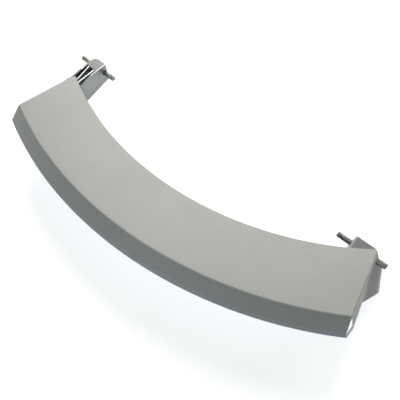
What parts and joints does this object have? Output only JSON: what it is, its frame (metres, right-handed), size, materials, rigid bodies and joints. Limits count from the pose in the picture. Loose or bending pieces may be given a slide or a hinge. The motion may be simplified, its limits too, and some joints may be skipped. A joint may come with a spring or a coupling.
{
  "type": "appliance door handle",
  "caption": "Curved pull handle for an appliance door: a crescent grip with a sloped face, on a frame whose ribbed arms hold hinge pins.",
  "frame": {"origin": "on the line of the hinge pins, halfway between the inner sides of the arms", "axes": "+X along the pins, from the long arm to the short one; +Y from the grip towards the middle of the door; +Z out of the door, the way the face looks"},
  "size_m": [0.2593, 0.0942, 0.0384],
  "materials": {
    "matt_silver_moulding": "fine matt silver-grey lacquer on moulded plastic",
    "bright_plated_moulding": "bright silver plating on moulded plastic",
    "drawn_steel": "drawn steel wire with fine rings turned in one end"
  },
  "bodies": {
    "root": {"front_cover": "matt_silver_moulding", "back_frame": "bright_plated_moulding", "left_pin": "drawn_steel", "right_pin": "drawn_steel"}
  },
  "joints": []
}
